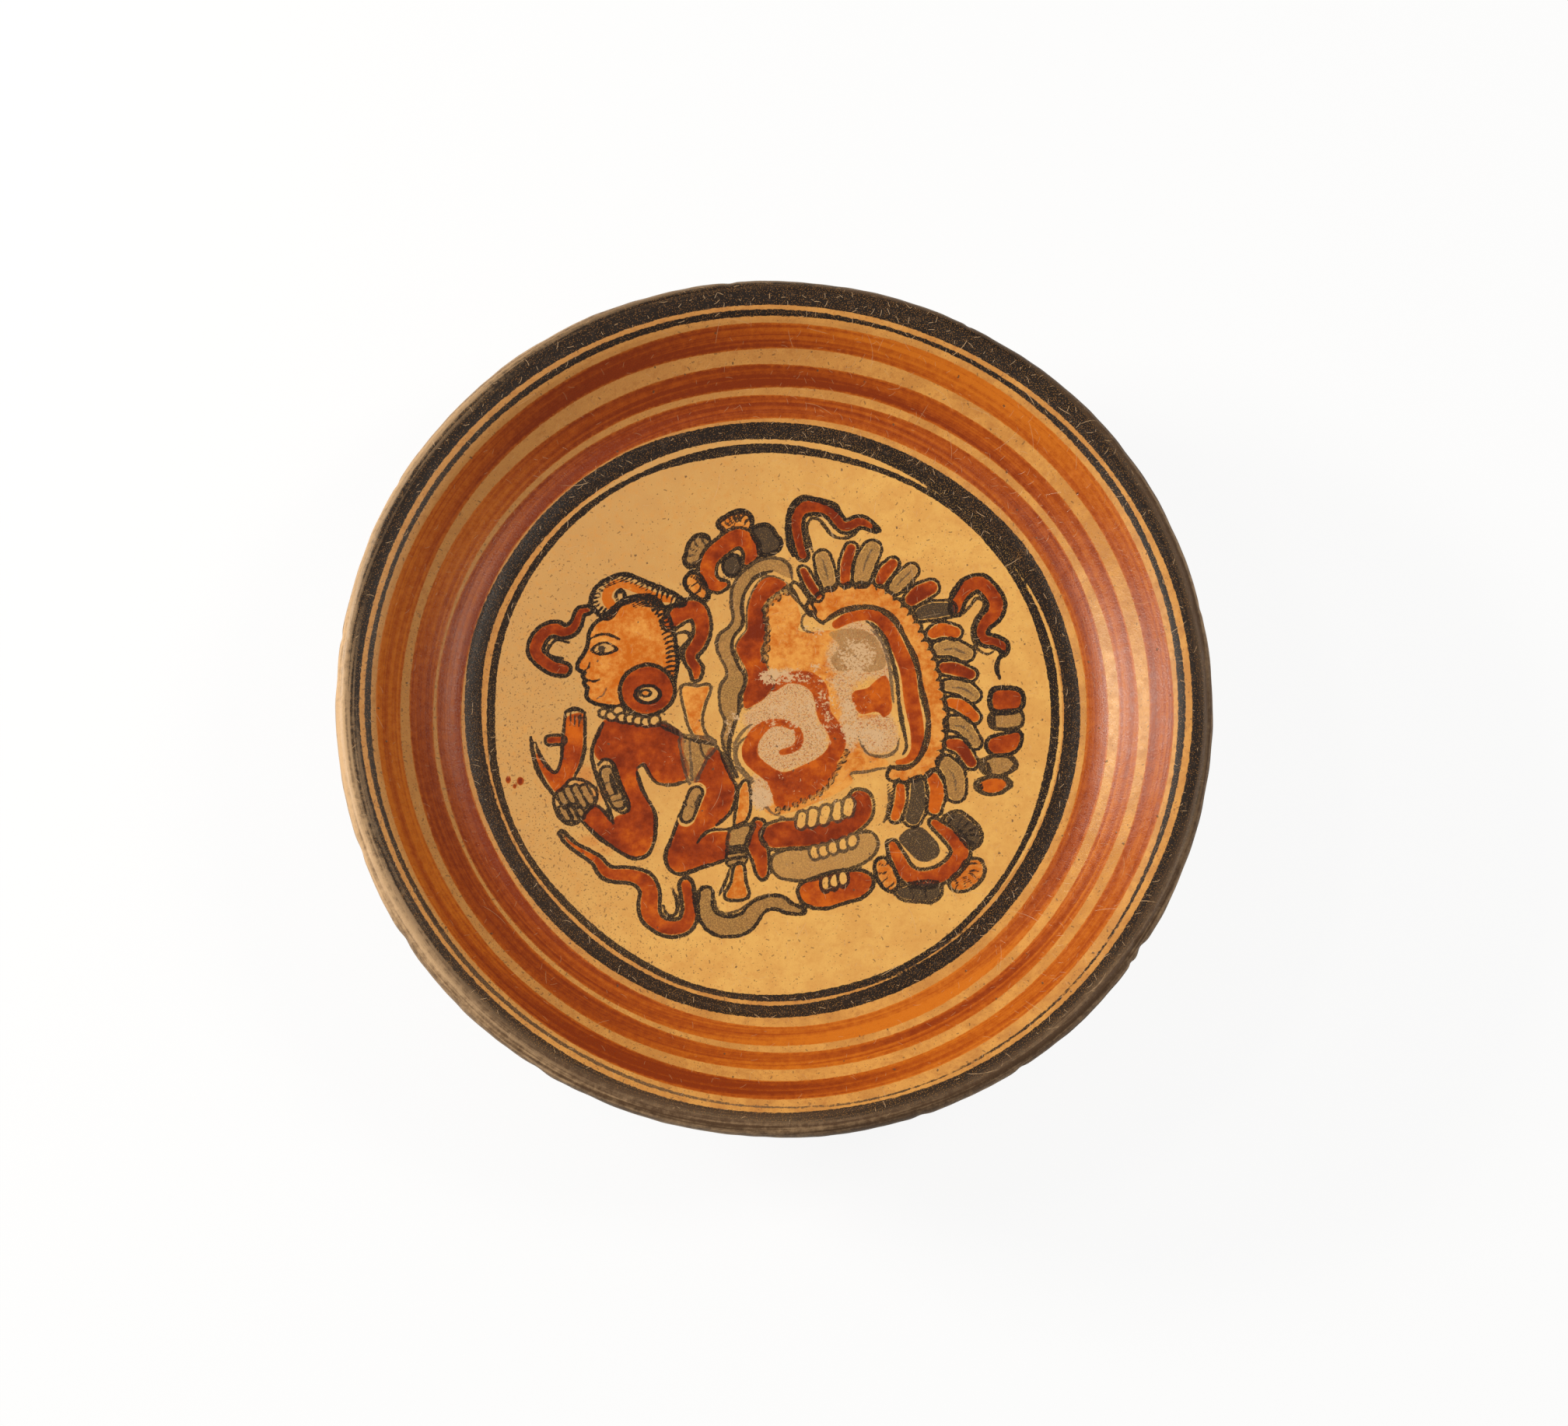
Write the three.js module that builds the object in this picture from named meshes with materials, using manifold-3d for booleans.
// Painted pottery plate on three hollow rattle feet, in millimetres, +Z up.
// The floor faces up, the top of its picture points along +Y, and the feet stand on Z = 0.
// The plate is built up in clay: a base disc, a flaring wall coil set on its edge, a rim coil
// turned out into a round lip, and three feet luted on below with a coil of soft clay each.
import * as THREE from 'three';
import * as BufferGeometryUtils from 'three/addons/utils/BufferGeometryUtils.js';
import Module from 'manifold-3d';

const wasm = await Module();
wasm.setup();

// Sizes of the dish, along the eating side from the middle outward
const floorRadius = 93;
const turnRun = 14;
const wallRun = 19.5;
const lipRun = 10;
const floorSlope = THREE.MathUtils.degToRad(3);
const wallSlope = THREE.MathUtils.degToRad(34);
const lipSlope = THREE.MathUtils.degToRad(3);

// Thickness of the clay
const baseThickness = 8;
const wallThickness = 7;
const heelLength = 7;

// The rim isn't quite round or level: it is drawn out along one axis and a little four-sided
const rimOvality = 0.8;
const rimOvalAxis = THREE.MathUtils.degToRad(-52);
const rimSquareness = 0.4;
const rimSquareAxis = THREE.MathUtils.degToRad(38);
const rimWave = 0.6;
const rimWaveAxis = THREE.MathUtils.degToRad(15);

// Sizes of a foot and of its rattle chamber
const footCount = 3;
const firstFootAngle = THREE.MathUtils.degToRad(90);
const footHeight = 42;
const footTopRadius = 16.5;
const footBottomRadius = 13;
const footWall = 4.5;
const footFloor = 5;
const footEdgeRadius = 3;
const footInset = 1;
const ventWidth = 4;
const ventLength = 20;
const ventHeight = 22;

// Sizes of the luting coil round the head of a foot
const luteWidth = 3.6;
const luteDrop = 6;
const luteEdge = 0.6;

// Sizes of the loose pellets in each foot
const pelletRadius = 3.75;
const pelletsPerFoot = 2;

// Clearances between neighbours
const seamGap = 0.1;
const luteGap = 0.3;
const pelletGap = 0.3;

// Facets
const dishSegments = 96;
const footSegments = 28;
const pelletSegments = 12;
const pelletRings = 8;
const floorSteps = 3;
const bendSteps = 4;
const edgeSteps = 5;
const heelSteps = 3;
const footSteps = 6;
const luteSteps = 3;

const clay = {
  cream: { color: 0xd9ac6c, roughness: 0.5 },
  red: { color: 0xa4451b, roughness: 0.45 },
  black: { color: 0x2c2520, roughness: 0.5 },
  buff: { color: 0xa8794e, roughness: 0.8 },
  pale: { color: 0xc79a6b, roughness: 0.9 },
};

// A line that bends evenly from one slope to another while it runs outward from a point
function bend(start, fromSlope, toSlope, run, steps) {
  const radius = run / (Math.sin(toSlope) - Math.sin(fromSlope));
  const line = [];
  for (let step = 1; step <= steps; step += 1) {
    const slope = THREE.MathUtils.lerp(fromSlope, toSlope, step / steps);
    const point = new THREE.Vector2(
      start.x + radius * (Math.sin(slope) - Math.sin(fromSlope)),
      start.y + radius * (Math.cos(fromSlope) - Math.cos(slope)),
    );
    line.push({ point, slope });
  }
  return line;
}

// The point that lies under a point of the eating side, across the clay
function across({ point, slope }, thickness) {
  return new THREE.Vector2(
    point.x + thickness * Math.sin(slope),
    point.y - thickness * Math.cos(slope),
  );
}

// The point further out along the wall
function outward({ point, slope }, distance) {
  const moved = new THREE.Vector2(
    point.x + distance * Math.cos(slope),
    point.y + distance * Math.sin(slope),
  );
  return { point: moved, slope };
}

// A solid of revolution about Z from a closed outline, with shared vertices and no slivers
function revolve(outline, segments) {
  const closedOutline = outline[0].x === 0 ? outline : [...outline, outline[0]];
  const lathe = new THREE.LatheGeometry(closedOutline, segments);
  lathe.rotateX(Math.PI / 2);
  return weld(lathe);
}

// The same solid with each vertex held once and without the flat triangles at the axis
function weld(geometry) {
  geometry.deleteAttribute('normal');
  geometry.deleteAttribute('uv');
  const merged = BufferGeometryUtils.mergeVertices(geometry, 1e-4);
  const corners = merged.index.array;
  const kept = [];
  for (let at = 0; at < corners.length; at += 3) {
    const [a, b, c] = [corners[at], corners[at + 1], corners[at + 2]];
    if (a !== b && b !== c && c !== a) {
      kept.push(a, b, c);
    }
  }
  merged.setIndex(kept);
  merged.computeVertexNormals();
  return merged;
}

function toManifold(geometry) {
  return new wasm.Manifold(new wasm.Mesh({
    numProp: 3,
    vertProperties: new Float32Array(geometry.attributes.position.array),
    triVerts: new Uint32Array(geometry.index.array),
  }));
}

function fromManifold(solid) {
  const mesh = solid.getMesh();
  const geometry = new THREE.BufferGeometry();
  geometry.setAttribute('position', new THREE.BufferAttribute(mesh.vertProperties, 3));
  geometry.setIndex(new THREE.BufferAttribute(mesh.triVerts, 1));
  geometry.computeVertexNormals();
  return geometry;
}

function piece(name, geometry, finish) {
  const material = new THREE.MeshStandardMaterial({ ...finish, metalness: 0 });
  const mesh = new THREE.Mesh(geometry, material);
  mesh.name = name;
  return mesh;
}

// Eating side of the dish
const floorHeight = footHeight + baseThickness;
const floorMiddle = new THREE.Vector2(0, floorHeight);
const floorLine = bend(floorMiddle, 0, floorSlope, floorRadius, floorSteps);
const floorEdge = floorLine.at(-1);
const turnLine = bend(floorEdge.point, floorSlope, wallSlope, turnRun, bendSteps);
const wallTop = outward(turnLine.at(-1), wallRun / Math.cos(wallSlope));
const rimStart = outward(wallTop, seamGap);
const lipLine = bend(rimStart.point, wallSlope, lipSlope, lipRun, bendSteps);
const lipEdge = lipLine.at(-1);
const lipCentre = across(lipEdge, wallThickness / 2);
const rimRadius = lipCentre.x + wallThickness / 2;

// Underside: flat below the floor, rounded at the heel, then level with the wall's outer side
const wallFoot = across(turnLine.at(-1), wallThickness);
const heelRadius = wallFoot.x - (wallFoot.y - footHeight) / Math.tan(wallSlope);
const flatRadius = heelRadius - heelLength;
const heelCurve = new THREE.QuadraticBezierCurve(
  new THREE.Vector2(flatRadius, footHeight),
  new THREE.Vector2(heelRadius, footHeight),
  new THREE.Vector2(
    heelRadius + heelLength * Math.cos(wallSlope),
    footHeight + heelLength * Math.sin(wallSlope),
  ),
);
const heelPoints = heelCurve.getPoints(heelSteps);
const heelEnd = heelPoints.at(-1);

// Seam where the wall coil was set on the edge of the base disc
const seamNormal = heelEnd.clone().sub(floorEdge.point).normalize();
seamNormal.set(-seamNormal.y, seamNormal.x);
const seamShift = seamNormal.multiplyScalar(seamGap);

// How far the rim is from round and level at a place, growing from nothing at the base
function handmade(geometry) {
  const place = geometry.attributes.position;
  for (let at = 0; at < place.count; at += 1) {
    const [x, y] = [place.getX(at), place.getY(at)];
    const radius = Math.hypot(x, y);
    const angle = Math.atan2(y, x);
    const share = THREE.MathUtils.clamp((radius - heelEnd.x) / (rimRadius - heelEnd.x), 0, 1);
    const oval = rimOvality * Math.cos(2 * (angle - rimOvalAxis));
    const square = rimSquareness * Math.cos(4 * (angle - rimSquareAxis));
    const wave = rimWave * Math.cos(2 * (angle - rimWaveAxis));
    const stretch = 1 + share * (oval + square) / Math.max(radius, floorRadius);
    place.setXYZ(at, x * stretch, y * stretch, place.getZ(at) + share * wave);
  }
  geometry.computeVertexNormals();
  return geometry;
}

function makeBaseDisc() {
  const outline = [
    new THREE.Vector2(0, footHeight),
    ...heelPoints,
    ...floorLine.map((step) => step.point).reverse(),
    floorMiddle,
  ];
  return piece('base_disc', revolve(outline, dishSegments), clay.cream);
}

function makeWallCoil() {
  const outline = [
    heelEnd.clone().add(seamShift),
    across(wallTop, wallThickness),
    wallTop.point,
    ...turnLine.map((step) => step.point).reverse(),
    floorEdge.point.clone().add(seamShift),
  ];
  return piece('wall_coil', handmade(revolve(outline, dishSegments)), clay.red);
}

function makeRimCoil() {
  const outline = [
    across(rimStart, wallThickness),
    ...lipLine.map((step) => across(step, wallThickness)),
  ];
  for (let step = edgeSteps - 1; step >= 1; step -= 1) {
    const turned = Math.PI * step / edgeSteps - lipSlope;
    outline.push(new THREE.Vector2(
      lipCentre.x + wallThickness / 2 * Math.sin(turned),
      lipCentre.y + wallThickness / 2 * Math.cos(turned),
    ));
  }
  outline.push(...lipLine.map((step) => step.point).reverse(), rimStart.point);
  return piece('rim_coil', handmade(revolve(outline, dishSegments)), clay.black);
}

// Outer radius of a foot at a height: it swells a little towards the dish
function footRadiusAt(height) {
  const swell = Math.sin(height / footHeight * Math.PI / 2);
  return THREE.MathUtils.lerp(footBottomRadius, footTopRadius, swell);
}

// A hollow foot, open at the top where the dish closes its chamber, with a vent slit inward
function makeFoot(name) {
  const outline = [new THREE.Vector2(0, 0)];
  const edgeCentre = footRadiusAt(footEdgeRadius) - footEdgeRadius;
  for (let step = 0; step < edgeSteps; step += 1) {
    const turned = Math.PI / 2 * step / edgeSteps;
    outline.push(new THREE.Vector2(
      edgeCentre + footEdgeRadius * Math.sin(turned),
      footEdgeRadius - footEdgeRadius * Math.cos(turned),
    ));
  }
  const chamber = [];
  for (let step = 0; step <= footSteps; step += 1) {
    const share = step / footSteps;
    const outerHeight = THREE.MathUtils.lerp(footEdgeRadius, footHeight, share);
    const innerHeight = THREE.MathUtils.lerp(footFloor, footHeight, share);
    outline.push(new THREE.Vector2(footRadiusAt(outerHeight), outerHeight));
    chamber.unshift(new THREE.Vector2(footRadiusAt(innerHeight) - footWall, innerHeight));
  }
  outline.push(...chamber, new THREE.Vector2(0, footFloor));
  const shell = revolve(outline, footSegments);
  const slit = new THREE.Shape();
  const straight = (ventLength - ventWidth) / 2;
  slit.absarc(0, straight, ventWidth / 2, 0, Math.PI, false);
  slit.absarc(0, -straight, ventWidth / 2, Math.PI, 2 * Math.PI, false);
  slit.closePath();
  const cutter = new THREE.ExtrudeGeometry(slit, {
    depth: footTopRadius + footWall,
    bevelEnabled: false,
    curveSegments: 5,
  });
  cutter.rotateX(Math.PI / 2);
  cutter.rotateZ(-Math.PI / 2);
  cutter.translate(0, 0, ventHeight);
  const cut = toManifold(shell).subtract(toManifold(weld(cutter)));
  return piece(name, fromManifold(cut), clay.buff);
}

// The coil of soft clay smeared into the corner between a foot and the dish
function makeLutingCoil(name) {
  const innerRadius = footTopRadius + luteGap;
  const outline = [
    new THREE.Vector2(innerRadius, footHeight),
    new THREE.Vector2(innerRadius, footHeight - luteDrop),
  ];
  const smear = new THREE.QuadraticBezierCurve(
    new THREE.Vector2(innerRadius + luteEdge, footHeight - luteDrop),
    new THREE.Vector2(innerRadius + luteEdge, footHeight - luteEdge),
    new THREE.Vector2(innerRadius + luteWidth, footHeight - luteEdge),
  );
  outline.push(...smear.getPoints(luteSteps));
  outline.push(new THREE.Vector2(innerRadius + luteWidth, footHeight));
  return piece(name, revolve(outline, footSegments), clay.buff);
}

function makePellet(name) {
  const ball = new THREE.SphereGeometry(pelletRadius, pelletSegments, pelletRings);
  ball.rotateX(Math.PI / 2);
  return piece(name, weld(ball), clay.pale);
}

const plate = new THREE.Group();
plate.add(makeBaseDisc(), makeWallCoil(), makeRimCoil());

// The feet stand just inside the edge of the flat underside, their luting coils included
const footCircle = flatRadius - footInset - luteWidth - luteGap - footTopRadius;
const pelletCircle = pelletsPerFoot > 1
  ? (pelletRadius + pelletGap / 2) / Math.sin(Math.PI / pelletsPerFoot)
  : 0;
for (let foot = 0; foot < footCount; foot += 1) {
  const angle = firstFootAngle + 2 * Math.PI * foot / footCount;
  const place = new THREE.Group();
  place.position.set(footCircle * Math.cos(angle), footCircle * Math.sin(angle), 0);
  place.rotation.z = angle;
  place.add(makeFoot(`foot_${foot + 1}`), makeLutingCoil(`luting_coil_${foot + 1}`));
  for (let number = 0; number < pelletsPerFoot; number += 1) {
    const letter = String.fromCharCode('a'.charCodeAt(0) + number);
    const pellet = makePellet(`pellet_${foot + 1}${letter}`);
    const turned = Math.PI / 2 + 2 * Math.PI * number / pelletsPerFoot;
    pellet.position.set(
      pelletCircle * Math.cos(turned),
      pelletCircle * Math.sin(turned),
      footFloor + pelletGap + pelletRadius,
    );
    place.add(pellet);
  }
  plate.add(place);
}

export default plate;
